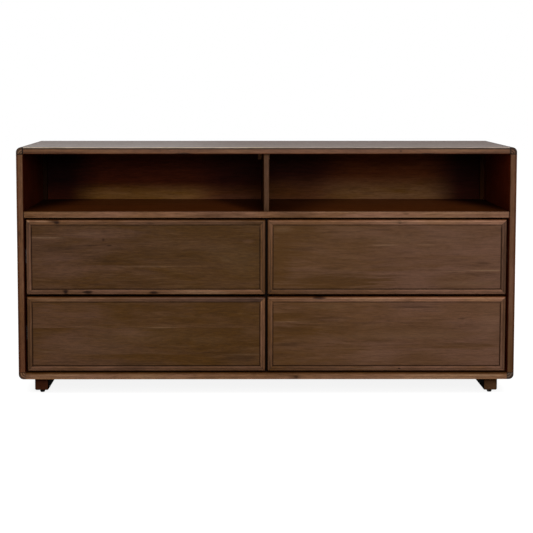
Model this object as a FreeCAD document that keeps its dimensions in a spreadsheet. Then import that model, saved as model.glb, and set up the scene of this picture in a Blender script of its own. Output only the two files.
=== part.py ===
import FreeCAD, Part
import os
import re

import Sketcher

# Low dresser: a box case of solid boards on two floor runners, an open compartment
# under the top, and four drawers on telescopic slides.
# Origin: on the floor, under the middle of the case. +X right, +Y to the back, +Z up.
# Lengths are in millimetres.

SIZES = [
    ("case_width", 1600, "case, across"),
    ("case_depth", 450, "case, front to back"),
    ("case_height", 800, "floor to the top surface"),
    ("floor_gap", 49, "floor to the underside of the case"),
    ("board_thick", 22, "top, bottom and side boards, and the corner posts' section"),
    ("corner_radius", 16, "outer corners of the case, seen from the front"),
    ("edge_round", 3, "eased front edges of the case"),
    ("joint_bevel", 0.5, "small bevel where a corner post meets its boards"),
    ("shelf_level", 573, "floor to the underside of the shelf"),
    ("shelf_thick", 21, "shelf board"),
    ("shelf_setback", 1, "shelf edge behind the case's front"),
    ("shelf_round", 4, "rounded front edge of the shelf"),
    ("upright_thick", 17, "shelf divider and drawer partition"),
    ("divider_setback", 18, "divider edge behind the case's front"),
    ("divider_round", 2, "eased front edges of the divider"),
    ("partition_setback", 22.5, "partition edge behind the case's front"),
    ("back_thick", 9, "back panel"),
    ("back_inset", 3, "back panel in from the case's back edges"),
    ("batten_wide", 14, "battens in the back corners, across"),
    ("batten_deep", 14, "battens, front to back"),
    ("block_wide", 12, "glue blocks beside the divider, across"),
    ("block_deep", 20, "glue blocks, front to back"),
    ("block_tall", 42, "glue blocks, height"),
    ("runner_wide", 44, "floor runners, across"),
    ("runner_setback", 20, "runners in from the case's front and back"),
    ("runner_inset", 49, "runners in from the case's sides"),
    ("runner_round", 5, "rounded edges of the runners"),
    ("glide_tall", 9, "part of a leveler below the runner"),
    ("glide_radius", 8.5, "leveler disc"),
    ("glide_foot_radius", 6.5, "leveler disc where it meets the floor"),
    ("glide_taper", 5, "height of the disc's tapered part"),
    ("glide_setback", 40, "leveler axis in from the case's front and back"),
    ("stem_radius", 4, "leveler stem, M8"),
    ("stem_clear", 0.05, "stem to insert, radial"),
    ("stem_tall", 44, "floor to the top of the stem"),
    ("stem_bore_radius", 4.5, "hole above the insert, for the stem"),
    ("glide_neck", 1, "step from a leveler's disc up to the runner"),
    ("glide_neck_gap", 0.3, "leveler's neck below the runner"),
    ("insert_radius", 6, "threaded insert, outside"),
    ("insert_tall", 25, "threaded insert"),
    ("bolt_radius", 2.2, "wood screws, shank"),
    ("bolt_clear", 0.05, "shank to its hole, radial"),
    ("bolt_head_radius", 4.2, "wood screws, head"),
    ("bolt_head_tall", 2.2, "wood screws, head"),
    ("hole_extra", 1, "hole past the tip of its screw"),
    ("runner_bore_radius", 5, "counterbore for a runner screw"),
    ("runner_bore_deep", 16, "counterbore for a runner screw"),
    ("runner_bolt_long", 40, "runner screws, shank"),
    ("runner_bolt_pitch", 120, "runner screws, from one to the next"),
    ("back_bolt_long", 20, "back screws, shank"),
    ("back_bolt_margin", 40, "back screws, in from a batten's ends"),
    ("side_gap", 6.5, "drawer front to the case's side"),
    ("middle_gap", 7.5, "between drawer fronts side by side"),
    ("row_gap", 8, "between drawer fronts one above the other"),
    ("lower_gap", 5, "lower drawer front to the bottom"),
    ("upper_gap", 6, "upper drawer front to the shelf"),
    ("front_setback", 1.5, "drawer fronts behind the case's front"),
    ("front_thick", 20, "drawer front"),
    ("frame_wide", 16, "moulding around a drawer front"),
    ("frame_round", 6, "outer edge of the moulding"),
    ("frame_ease", 1.5, "inner edge of the moulding"),
    ("frame_lip", 6, "moulding over the panel's edge"),
    ("panel_recess", 4, "panel behind the moulding's face"),
    ("quirk_wide", 1.5, "groove beside the moulding, that shows"),
    ("quirk_deep", 1.5, "groove beside the moulding, depth"),
    ("box_deep", 380, "drawer box, front to back"),
    ("box_tall", 170, "drawer box, height"),
    ("box_lift", 34, "drawer box above its front's lower edge"),
    ("box_wall", 13, "drawer box sides, front and back"),
    ("sheet_thick", 6, "drawer bottom"),
    ("sheet_lift", 10, "drawer bottom above the box's lower edge"),
    ("groove_deep", 6, "groove for the drawer bottom"),
    ("groove_clear", 0.2, "groove over the drawer bottom, and at its edges"),
    ("slide_space", 13, "case wall to drawer box"),
    ("slide_high", 45, "slide, height"),
    ("slide_long", 350, "slide, closed length"),
    ("slide_setback", 20, "slide behind the drawer front"),
    ("rail_wall", 1.2, "rail sheet"),
    ("rail_clear", 0.3, "running clearance from rail to rail"),
    ("outer_reach", 10, "outer rail's flanges, from the case wall"),
    ("middle_start", 3, "middle rail's web, from the case wall"),
    ("middle_reach", 9.6, "middle rail's flanges, from the case wall"),
    ("middle_race", 4, "middle rail's flange with its ball races"),
    ("inner_start", 6, "inner rail's flanges, from the case wall"),
    ("inner_race", 2.5, "inner rail's flange"),
]

ALIAS = re.compile(r"[a-z]+(?:_[a-z]+)+")
TINY = 0.001
LONG_EDGE = 30
BACK_SCREW_PARTS = (0.25, 0.75)      # heights of an upright's back screws, as parts of it
RUNNER_SCREW_STEPS = (-1, 0, 1)      # a runner's screws, in pitches from its middle

# Places that several pieces share, as expressions of the sheet's cells.
INNER_WIDTH = "(case_width - 2*board_thick)"
INNER_LEFT = "(-case_width/2 + board_thick)"
FRONT = "(-case_depth/2)"
BACK_FACE = "(case_depth/2 - back_inset - back_thick)"
FLOOR_TOP = "(floor_gap + board_thick)"
SHELF_TOP = "(shelf_level + shelf_thick)"
CEILING = "(case_height - board_thick)"
RUNNER_TALL = "(floor_gap - glide_tall)"
GLIDE_X = "(case_width/2 - runner_inset - runner_wide/2)"
GLIDE_Y = "(case_depth/2 - glide_setback)"
FRONT_WIDE = f"(({INNER_WIDTH} - 2*side_gap - middle_gap)/2)"
FRONT_TALL = f"((shelf_level - {FLOOR_TOP} - lower_gap - row_gap - upper_gap)/2)"
FRONT_REAR = f"({FRONT} + front_setback + front_thick)"
BAY_WIDE = f"(({INNER_WIDTH} - upright_thick)/2)"
BOX_WIDE = f"({BAY_WIDE} - 2*slide_space)"

doc = FreeCAD.newDocument("LowDresser")
dims = doc.addObject("Spreadsheet::Sheet", "Dims")
for row, (alias, value, meaning) in enumerate(SIZES, start=1):
    dims.set(f"A{row}", alias)
    dims.set(f"B{row}", str(value))
    dims.set(f"C{row}", meaning)
    dims.setAlias(f"B{row}", alias)
doc.recompute()

nodes = []


# ---------------------------------------------------------------- sheet and features

def cells(expression):
    """The expression with each alias written as a cell of the sheet."""
    return ALIAS.sub(lambda word: "Dims." + word.group(0), expression)


def number(expression):
    return float(dims.evalExpression(cells(expression)))


def bind(thing, prop, expression):
    thing.setExpression(prop, cells(expression))


def place(thing, x, y, z, axis=(0, 1, 0), turn=0):
    """Put a piece at (x, y, z), given as expressions, turned about one axis."""
    turned = FreeCAD.Rotation(FreeCAD.Vector(*axis), turn)
    thing.Placement = FreeCAD.Placement(FreeCAD.Vector(), turned)
    for direction, expression in zip("xyz", (x, y, z)):
        bind(thing, f"Placement.Base.{direction}", expression)


def new_body(label):
    item = doc.addObject("PartDesign::Body", label)
    item.Label = label
    return item


def new_sketch(item, role, offset="0"):
    """A sketch on one of the body's own origin planes, or parallel to it."""
    plane = next(part for part in item.Origin.OriginFeatures if part.Role == role)
    sketch = item.newObject("Sketcher::SketchObject", item.Name + "_sketch")
    sketch.AttachmentSupport = [(plane, "")]
    sketch.MapMode = "FlatFace"
    bind(sketch, "AttachmentOffset.Base.z", offset)
    return sketch


def pin_point(sketch, geometry, end, x, y):
    """Hold one point of the sketch at (x, y), given as expressions."""
    for kind, axis, expression in (("DistanceX", -2, x), ("DistanceY", -1, y)):
        if expression == "0":
            sketch.addConstraint(Sketcher.Constraint("PointOnObject", geometry, end, axis))
            continue
        held = Sketcher.Constraint(kind, -1, 1, geometry, end, number(expression))
        bind(sketch, f"Constraints[{sketch.addConstraint(held)}]", expression)


def outline(sketch, points):
    """A closed outline of straight lines through points given as expressions."""
    corners = [FreeCAD.Vector(number(x), number(y), 0) for x, y in points]
    first = sketch.GeometryCount
    count = len(points)
    for index in range(count):
        line = Part.LineSegment(corners[index], corners[(index + 1) % count])
        sketch.addGeometry(line, False)
    for index in range(count):
        following = first + (index + 1) % count
        sketch.addConstraint(Sketcher.Constraint("Coincident", first + index, 2, following, 1))
    for index, (x, y) in enumerate(points):
        pin_point(sketch, first + index, 1, x, y)


def rectangle(sketch, wide, tall):
    outline(sketch, [("0", "0"), (wide, "0"), (wide, tall), ("0", tall)])


def circles(sketch, centres, radius):
    for x, y in centres:
        middle = FreeCAD.Vector(number(x), number(y), 0)
        circle = Part.Circle(middle, FreeCAD.Vector(0, 0, 1), number(radius))
        geometry = sketch.addGeometry(circle, False)
        pin_point(sketch, geometry, 3, x, y)
        held = Sketcher.Constraint("Radius", geometry, number(radius))
        bind(sketch, f"Constraints[{sketch.addConstraint(held)}]", radius)


def pad(item, sketch, length):
    """Extrude to +X, +Y or +Z; only a sketch on XZ faces the other way."""
    feature = item.newObject("PartDesign::Pad", item.Name + "_pad")
    feature.Profile = sketch
    bind(feature, "Length", length)
    feature.Reversed = sketch.AttachmentSupport[0][0].Role == "XZ_Plane"
    doc.recompute()


def pocket(item, sketch, depth, reverse=False):
    """Cut from the sketch, and stop the script if nothing was cut."""
    before = item.Shape.Volume
    feature = item.newObject("PartDesign::Pocket", item.Name + "_pocket")
    feature.Profile = sketch
    bind(feature, "Length", depth)
    feature.Reversed = reverse
    doc.recompute()
    if not item.Shape.Volume < before - TINY:
        raise RuntimeError(f"{feature.Name} cuts nothing")


def revolve(item, sketch):
    feature = item.newObject("PartDesign::Revolution", item.Name + "_turned")
    feature.Profile = sketch
    feature.ReferenceAxis = (sketch, ["V_Axis"])
    feature.Angle = 360
    doc.recompute()


def dress(item, kind, prop, size, wanted):
    """Fillet or chamfer the edges of the body's tip whose box passes the test."""
    base = item.Tip
    names = [
        f"Edge{index}"
        for index, edge in enumerate(base.Shape.Edges, start=1)
        if wanted(edge.BoundBox)
    ]
    feature = item.newObject("PartDesign::" + kind, f"{item.Name}_{kind.lower()}")
    feature.Base = (base, names)
    bind(feature, prop, size)
    doc.recompute()


def fillet(item, radius, wanted):
    dress(item, "Fillet", "Radius", radius, wanted)


def front_edges(box):
    """The long edges of a board's front face, at y = 0 of the board."""
    return box.YMax < TINY and max(box.XLength, box.ZLength) > LONG_EDGE


def group(label, pieces):
    """One node of several separate solids."""
    bundle = doc.addObject("Part::Compound", label)
    bundle.Label = label
    bundle.Links = pieces
    nodes.append(bundle)


# ---------------------------------------------------------------- pieces

def board(label, role, size, at, round_front=None):
    """A board of size (x, y, z), its low corner at 'at', with eased front edges.

    The role names the plane of the section that runs along the board.
    """
    wide, deep, tall = size
    section, length = {
        "YZ_Plane": ((deep, tall), wide),
        "XZ_Plane": ((wide, tall), deep),
        "XY_Plane": ((wide, deep), tall),
    }[role]
    item = new_body(label)
    sketch = new_sketch(item, role)
    rectangle(sketch, *section)
    pad(item, sketch, length)
    if round_front:
        fillet(item, round_front, front_edges)
    place(item, *at)
    return item


def drill_rear(item, depth_of_piece, centres, length):
    """Screw holes from the rear face of a piece, along its Y axis."""
    sketch = new_sketch(item, "XZ_Plane", f"-({depth_of_piece})")
    circles(sketch, centres, "bolt_radius + bolt_clear")
    pocket(item, sketch, length, reverse=True)


def wood_screw(label, length, at, axis=(0, 1, 0), turn=0):
    """A screw whose head's underside is at 'at', pointing to its own +Z."""
    item = new_body(label)
    sketch = new_sketch(item, "XZ_Plane")
    outline(sketch, [
        ("0", "-bolt_head_tall"),
        ("bolt_head_radius*0.7", "-bolt_head_tall"),
        ("bolt_head_radius", "-bolt_head_tall*0.4"),
        ("bolt_head_radius", "0"),
        ("bolt_radius", "0"),
        ("bolt_radius", f"{length} - bolt_radius*2"),
        ("0", length),
    ])
    revolve(item, sketch)
    place(item, *at, axis=axis, turn=turn)
    return item


def corner_post(label, side, end, turn):
    """A square post along Y with one rounded outer corner, at its own (0, 0)."""
    item = new_body(label)
    sketch = new_sketch(item, "XZ_Plane")
    rectangle(sketch, "board_thick", "board_thick")
    pad(item, sketch, "case_depth")
    across = number("board_thick") - TINY
    rear = number("case_depth") - TINY

    def outer_corner(box):
        return box.XMax < TINY and box.ZMax < TINY

    def outer_front(box):
        return box.YMax < TINY and box.XMin < across and box.ZMin < across

    def joint_outline(box):
        at_joint = (box.XMin > across) != (box.ZMin > across)
        return at_joint and box.YMin < rear

    fillet(item, "corner_radius", outer_corner)
    fillet(item, "edge_round", outer_front)
    dress(item, "Chamfer", "Size", "joint_bevel", joint_outline)
    place(item, side + "case_width/2", FRONT, end, turn=turn)
    nodes.append(item)


def case():
    long_board = (INNER_WIDTH, "case_depth", "board_thick")
    nodes.append(board("top_panel", "YZ_Plane", long_board, (INNER_LEFT, FRONT, CEILING), "edge_round"))
    item = board("bottom_panel", "YZ_Plane", long_board, (INNER_LEFT, FRONT, "floor_gap"), "edge_round")
    sketch = new_sketch(item, "XY_Plane")
    from_left = f"{INNER_WIDTH}/2"
    centres = [
        (f"{from_left} {side} {GLIDE_X}", f"case_depth/2 + {step}*runner_bolt_pitch")
        for side in "-+" for step in RUNNER_SCREW_STEPS
    ]
    circles(sketch, centres, "bolt_radius + bolt_clear")
    pocket(item, sketch, f"runner_bore_deep + runner_bolt_long - {RUNNER_TALL} + hole_extra", reverse=True)
    nodes.append(item)

    side_board = ("board_thick", "case_depth", f"{CEILING} - {FLOOR_TOP}")
    sides = (("left", "-case_width/2"), ("right", "case_width/2 - board_thick"))
    for name, x in sides:
        at = (x, FRONT, FLOOR_TOP)
        nodes.append(board("side_panel_" + name, "XY_Plane", side_board, at, "edge_round"))

    corner_post("corner_post_bottom_left", "-", "floor_gap", 0)
    corner_post("corner_post_top_left", "-", "case_height", 90)
    corner_post("corner_post_top_right", "+", "case_height", 180)
    corner_post("corner_post_bottom_right", "+", "floor_gap", 270)


def shelf_and_uprights():
    deep = f"({BACK_FACE} - {FRONT} - shelf_setback)"
    at = (INNER_LEFT, f"{FRONT} + shelf_setback", "shelf_level")
    nodes.append(board("shelf", "YZ_Plane", (INNER_WIDTH, deep, "shelf_thick"), at, "shelf_round"))

    uprights = (
        ("shelf_divider", "divider_setback", SHELF_TOP, CEILING, "divider_round"),
        ("drawer_partition", "partition_setback", FLOOR_TOP, "shelf_level", None),
    )
    for label, setback, low, high, round_front in uprights:
        deep = f"({BACK_FACE} - {FRONT} - {setback})"
        tall = f"({high} - {low})"
        at = ("-upright_thick/2", f"{FRONT} + {setback}", low)
        item = board(label, "XY_Plane", ("upright_thick", deep, tall), at, round_front)
        centres = [("upright_thick/2", f"{tall}*{part}") for part in BACK_SCREW_PARTS]
        drill_rear(item, deep, centres, "back_bolt_long - back_thick + hole_extra")
        nodes.append(item)


def back():
    """Back panel, the corner battens and blocks that it is fixed to, and its screws."""
    levels = (("lower", FLOOR_TOP, "shelf_level"), ("upper", SHELF_TOP, CEILING))
    battens = []
    screws = []
    holes = []

    def add_screw(x, z):
        at = (x, "case_depth/2 - back_inset", z)
        label = f"back_screw_{len(screws) + 1}"
        screws.append(wood_screw(label, "back_bolt_long", at, axis=(1, 0, 0), turn=90))
        holes.append((f"{x} - {INNER_LEFT}", f"{z} - {FLOOR_TOP}"))

    for name, low, high in levels:
        tall = f"({high} - {low})"
        heights = ("back_bolt_margin", f"{tall}/2", f"{tall} - back_bolt_margin")
        for side, x in (("left", INNER_LEFT), ("right", f"({INNER_WIDTH}/2 - batten_wide)")):
            size = ("batten_wide", "batten_deep", tall)
            at = (x, f"{BACK_FACE} - batten_deep", low)
            item = board(f"{name}_{side}_batten", "XZ_Plane", size, at)
            centres = [("batten_wide/2", height) for height in heights]
            drill_rear(item, "batten_deep", centres, "back_bolt_long - back_thick + hole_extra")
            battens.append(item)
            for height in heights:
                add_screw(f"({x} + batten_wide/2)", f"({low} + {height})")
        for part in BACK_SCREW_PARTS:
            add_screw("0", f"({low} + {tall}*{part})")
    group("back_battens", battens)
    group("back_screws", screws)

    panel_size = (INNER_WIDTH, "back_thick", f"({CEILING} - {FLOOR_TOP})")
    panel = board("back_panel", "XZ_Plane", panel_size, (INNER_LEFT, BACK_FACE, FLOOR_TOP))
    drill_rear(panel, "back_thick", holes, "back_thick")
    nodes.append(panel)

    blocks = []
    for side, x in (("left", "(-upright_thick/2 - block_wide)"), ("right", "upright_thick/2")):
        at = (x, f"{BACK_FACE} - block_deep", f"{CEILING} - block_tall")
        size = ("block_wide", "block_deep", "block_tall")
        blocks.append(board(f"divider_block_{side}", "XZ_Plane", size, at))
    group("divider_blocks", blocks)


def runner(side, sign):
    """A floor runner, bored for two inserts with their stems, and for three screws."""
    item = new_body("foot_runner_" + side)
    sketch = new_sketch(item, "XZ_Plane")
    rectangle(sketch, "runner_wide", RUNNER_TALL)
    long_side = "(case_depth - 2*runner_setback)"
    pad(item, sketch, long_side)

    def lower_and_end_edges(box):
        low = box.ZMax < TINY
        upright_end = box.ZLength > LONG_EDGE
        return low or upright_end

    fillet(item, "runner_round", lower_and_end_edges)
    middle = "runner_wide/2"
    glides = [(middle, "glide_setback - runner_setback"),
              (middle, f"{long_side} - glide_setback + runner_setback")]
    bolts = [(middle, f"{long_side}/2 + {step}*runner_bolt_pitch") for step in RUNNER_SCREW_STEPS]
    bores = (
        (glides, "insert_radius", "insert_tall"),
        (glides, "stem_bore_radius", "stem_tall - glide_tall + hole_extra"),
        (bolts, "runner_bore_radius", "runner_bore_deep"),
        (bolts, "bolt_radius + bolt_clear", RUNNER_TALL),
    )
    for centres, radius, depth in bores:
        sketch = new_sketch(item, "XY_Plane")
        circles(sketch, centres, radius)
        pocket(item, sketch, depth, reverse=True)
    place(item, f"{sign}{GLIDE_X} - runner_wide/2", f"{FRONT} + runner_setback", "glide_tall")
    nodes.append(item)


def leveler(label, x, y):
    """A tapered plastic disc on a threaded stem, one turned piece."""
    item = new_body(label)
    sketch = new_sketch(item, "XZ_Plane")
    outline(sketch, [
        ("0", "0"),
        ("glide_foot_radius", "0"),
        ("glide_radius", "glide_taper"),
        ("glide_radius", "glide_tall - glide_neck"),
        ("insert_radius", "glide_tall - glide_neck"),
        ("stem_radius", "glide_tall - glide_neck_gap"),
        ("stem_radius", "stem_tall"),
        ("0", "stem_tall"),
    ])
    revolve(item, sketch)
    place(item, x, y, "0")
    nodes.append(item)


def leveler_insert(label, x, y):
    item = new_body(label)
    sketch = new_sketch(item, "XZ_Plane")
    inside = "stem_radius + stem_clear"
    outline(sketch, [
        (inside, "0"), ("insert_radius", "0"), ("insert_radius", "insert_tall"), (inside, "insert_tall"),
    ])
    revolve(item, sketch)
    place(item, x, y, "glide_tall")
    return item


def feet():
    inserts = []
    screws = []
    for side, sign in (("left", "-"), ("right", "+")):
        runner(side, sign)
        for end, way in (("front", "-"), ("rear", "+")):
            x, y = sign + GLIDE_X, way + GLIDE_Y
            leveler(f"leveler_{end}_{side}", x, y)
            inserts.append(leveler_insert(f"insert_{end}_{side}", x, y))
        for step in RUNNER_SCREW_STEPS:
            at = (sign + GLIDE_X, f"{step}*runner_bolt_pitch", "glide_tall + runner_bore_deep")
            label = f"runner_screw_{side}_{step + 2}"
            screws.append(wood_screw(label, "runner_bolt_long", at))
    group("leveler_inserts", inserts)
    group("runner_screws", screws)


def rail(label, spine, web, tip, half, race, at, turn):
    """A channel along Y: its spine and flange tips are distances from the case wall."""
    item = new_body(label)
    sketch = new_sketch(item, "XZ_Plane")
    outline(sketch, [
        (spine, f"-({half})"), (tip, f"-({half})"),
        (tip, f"{race} - ({half})"), (web, f"{race} - ({half})"),
        (web, f"{half} - {race}"), (tip, f"{half} - {race}"),
        (tip, half), (spine, half),
    ])
    pad(item, sketch, "slide_long")
    place(item, *at, turn=turn)
    return item


def moulding_piece(label, length, at, turn):
    """One mitred length of the moulding, its outer edge along its own X axis.

    A rebate behind the inner edge holds the panel.
    """
    item = new_body(label)
    sketch = new_sketch(item, "YZ_Plane")
    outline(sketch, [
        ("0", "0"), ("front_thick", "0"), ("front_thick", "frame_wide - frame_lip"),
        ("panel_recess", "frame_wide - frame_lip"), ("panel_recess", "frame_wide"), ("0", "frame_wide"),
    ])
    pad(item, sketch, length)

    def outer_front(box):
        return box.YMax < TINY and box.ZMax < TINY

    def inner_front(box):
        return box.YMax < TINY and box.XLength > LONG_EDGE and box.ZMin > number("frame_wide") - TINY

    fillet(item, "frame_round", outer_front)
    fillet(item, "frame_ease", inner_front)
    mitres = new_sketch(item, "XZ_Plane")
    outline(mitres, [("0", "0"), ("frame_wide", "frame_wide"), ("0", "frame_wide")])
    outline(mitres, [(length, "0"), (length, "frame_wide"), (f"{length} - frame_wide", "frame_wide")])
    pocket(item, mitres, "front_thick")
    place(item, *at, turn=turn)
    return item


def drawer_front(name, left, low):
    """A flat panel in a mitred frame of moulding, with a groove along the frame."""
    face = f"({FRONT} + front_setback)"
    right, high = f"({left} + {FRONT_WIDE})", f"({low} + {FRONT_TALL})"
    group(name + "_front_moulding", [
        moulding_piece(name + "_moulding_bottom", FRONT_WIDE, (left, face, low), 0),
        moulding_piece(name + "_moulding_left", FRONT_TALL, (left, face, high), 90),
        moulding_piece(name + "_moulding_top", FRONT_WIDE, (right, face, high), 180),
        moulding_piece(name + "_moulding_right", FRONT_TALL, (right, face, low), 270),
    ])

    hidden = "(frame_wide - frame_lip)"
    wide, tall = f"({FRONT_WIDE} - 2*{hidden})", f"({FRONT_TALL} - 2*{hidden})"
    at = (f"{left} + {hidden}", f"{face} + panel_recess", f"{low} + {hidden}")
    item = board(name + "_front_panel", "XZ_Plane", (wide, "front_thick - panel_recess", tall), at)
    groove = new_sketch(item, "XZ_Plane")
    for inset in ("frame_lip/2", "(frame_lip + quirk_wide)"):
        outline(groove, [
            (inset, inset), (f"{wide} - {inset}", inset),
            (f"{wide} - {inset}", f"{tall} - {inset}"), (inset, f"{tall} - {inset}"),
        ])
    pocket(item, groove, "quirk_deep")
    nodes.append(item)


def drawer_box(name, left, low):
    """Sides, front and back around a thin bottom held in grooves."""
    rear = f"({FRONT_REAR} + box_deep)"
    inside = f"({BOX_WIDE} - 2*box_wall)"
    slot_low = "sheet_lift"
    slot_high = "(sheet_lift + sheet_thick + groove_clear)"
    cut_far = "(box_wall - groove_deep)"

    for side, x, near in (("left", left, cut_far), ("right", f"({left} + {BOX_WIDE} - box_wall)", "0")):
        size = ("box_wall", "box_deep", "box_tall")
        item = board(f"{name}_box_side_{side}", "XZ_Plane", size, (x, FRONT_REAR, low))
        groove = new_sketch(item, "XZ_Plane")
        far = f"({near} + groove_deep)"
        outline(groove, [(near, slot_low), (far, slot_low), (far, slot_high), (near, slot_high)])
        pocket(item, groove, "box_deep")
        nodes.append(item)

    at = (f"{left} + box_wall", FRONT_REAR, low)
    item = board(name + "_box_front", "YZ_Plane", (inside, "box_wall", "box_tall"), at)
    groove = new_sketch(item, "YZ_Plane")
    outline(groove, [
        (cut_far, slot_low), ("box_wall", slot_low), ("box_wall", slot_high), (cut_far, slot_high),
    ])
    pocket(item, groove, inside, reverse=True)
    nodes.append(item)

    back_low = f"({low} + {slot_high})"
    size = (inside, "box_wall", f"(box_tall - {slot_high})")
    at = (f"{left} + box_wall", f"{rear} - box_wall", back_low)
    nodes.append(board(name + "_box_back", "YZ_Plane", size, at))

    held = "(groove_deep - groove_clear)"
    size = (f"({inside} + 2*{held})", f"(box_deep - box_wall + {held})", "sheet_thick")
    at = (f"{left} + box_wall - {held}", f"{FRONT_REAR} + box_wall - {held}", f"{low} + sheet_lift")
    nodes.append(board(name + "_box_bottom", "XY_Plane", size, at))


def slide_pair(name, kind, bay_left, level):
    """The same rail on both walls of a drawer's bay, as two bodies."""
    middle_half = "(slide_high/2 - rail_wall - rail_clear)"
    spine, web, tip, half, race = {
        "outer": ("0", "rail_wall", "outer_reach", "slide_high/2", "rail_wall"),
        "middle": ("middle_start", "(middle_start + rail_wall)", "middle_reach",
                   middle_half, "middle_race"),
        "inner": ("slide_space", "(slide_space - rail_wall)", "inner_start",
                  f"({middle_half} - middle_race - rail_clear)", "inner_race"),
    }[kind]
    start = f"({FRONT_REAR} + slide_setback)"
    walls = (("left", bay_left, 0), ("right", f"({bay_left} + {BAY_WIDE})", 180))
    return [
        rail(f"{name}_{kind}_rail_{wall}", spine, web, tip, half, race, (x, start, level), turn)
        for wall, x, turn in walls
    ]


def drawers():
    rows = (("lower", f"({FLOOR_TOP} + lower_gap)"),
            ("upper", f"(shelf_level - upper_gap - {FRONT_TALL})"))
    columns = (("left", f"(-middle_gap/2 - {FRONT_WIDE})", INNER_LEFT),
               ("right", "(middle_gap/2)", "(upright_thick/2)"))
    outer_rails = []
    for row, front_low in rows:
        for column, front_left, bay_left in columns:
            name = f"{row}_{column}"
            box_low = f"({front_low} + box_lift)"
            level = f"({box_low} + box_tall/2)"
            drawer_front(name, front_left, front_low)
            drawer_box(name, f"({bay_left} + slide_space)", box_low)
            outer_rails += slide_pair(name, "outer", bay_left, level)
            group(name + "_middle_rails", slide_pair(name, "middle", bay_left, level))
            group(name + "_inner_rails", slide_pair(name, "inner", bay_left, level))
    group("slide_outer_rails", outer_rails)


# ---------------------------------------------------------------- model and files

case()
shelf_and_uprights()
back()
feet()
drawers()
doc.recompute()

for thing in doc.Objects:
    if {"Invalid", "Error"} & set(thing.State):
        raise RuntimeError(f"{thing.Name} failed: {thing.State}")
for node in nodes:
    if node.Shape.isNull() or not node.Shape.isValid():
        raise RuntimeError(f"{node.Label} has no valid shape")

os.makedirs("parts", exist_ok=True)
for node in nodes:
    node.Shape.exportStep(f"parts/{node.Label}.step")
print(len(nodes), "nodes written")
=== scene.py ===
import math

import bpy
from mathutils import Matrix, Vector

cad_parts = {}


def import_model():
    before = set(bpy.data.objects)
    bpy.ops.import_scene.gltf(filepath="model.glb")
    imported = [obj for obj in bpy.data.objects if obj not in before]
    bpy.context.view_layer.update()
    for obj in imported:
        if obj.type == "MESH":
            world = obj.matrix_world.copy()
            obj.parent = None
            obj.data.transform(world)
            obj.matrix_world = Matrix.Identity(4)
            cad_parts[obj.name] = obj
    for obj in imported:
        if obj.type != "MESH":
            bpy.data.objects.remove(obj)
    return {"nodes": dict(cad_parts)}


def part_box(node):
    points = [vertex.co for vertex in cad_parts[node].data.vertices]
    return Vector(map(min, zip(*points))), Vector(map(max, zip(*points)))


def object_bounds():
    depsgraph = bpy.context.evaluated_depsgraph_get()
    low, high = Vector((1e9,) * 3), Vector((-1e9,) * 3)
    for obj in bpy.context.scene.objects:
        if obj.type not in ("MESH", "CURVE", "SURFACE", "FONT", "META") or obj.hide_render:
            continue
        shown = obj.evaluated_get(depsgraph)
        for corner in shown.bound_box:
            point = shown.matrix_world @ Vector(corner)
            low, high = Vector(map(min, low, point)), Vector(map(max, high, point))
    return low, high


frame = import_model()
CAD_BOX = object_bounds()

MM = 0.001
LOW, HIGH = CAD_BOX
FRONT = LOW.y                                  # the case's front plane
DRAWERS = [f"{row}_{column}" for row in ("lower", "upper") for column in ("left", "right")]
INNER_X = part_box("top_panel")[1].x             # where the long boards meet the corner posts
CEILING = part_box("top_panel")[0].z
FLOOR_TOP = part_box("bottom_panel")[1].z

# Linear colours of the stained wood: its yellowish and its rosy parts, and its marks.
# The pale colour also makes painted highlights, and the near-black one painted shade.
OCHRE = (0.078, 0.0320, 0.0060, 1)
ROSE = (0.126, 0.0600, 0.0350, 1)
DARK = (0.030, 0.0120, 0.0040, 1)
PALE = (0.190, 0.1050, 0.0580, 1)
KNOT_AND_SHADE = (0.017, 0.0060, 0.0030, 1)
WHITE = (1, 1, 1, 1)
INSIDE_SHADE = (0.95, 0.62, 0.30, 1)                 # factor for faces inside the case: painted shade, darker and redder

# Widths of the boards glued edge to edge, in metres.
BOARD, INNER_BOARD, FRONT_BOARD, BACK_BOARD = 0.09, 0.11, 0.0872, 0.35

# Each node's grain has a seed of its own. These are the first seeds of what repeats.
POST_SEED, PANEL_SEED, MOULDING_SEED, BOX_SEED, BOX_BOTTOM_SEED = 9, 17, 21, 30, 60
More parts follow.
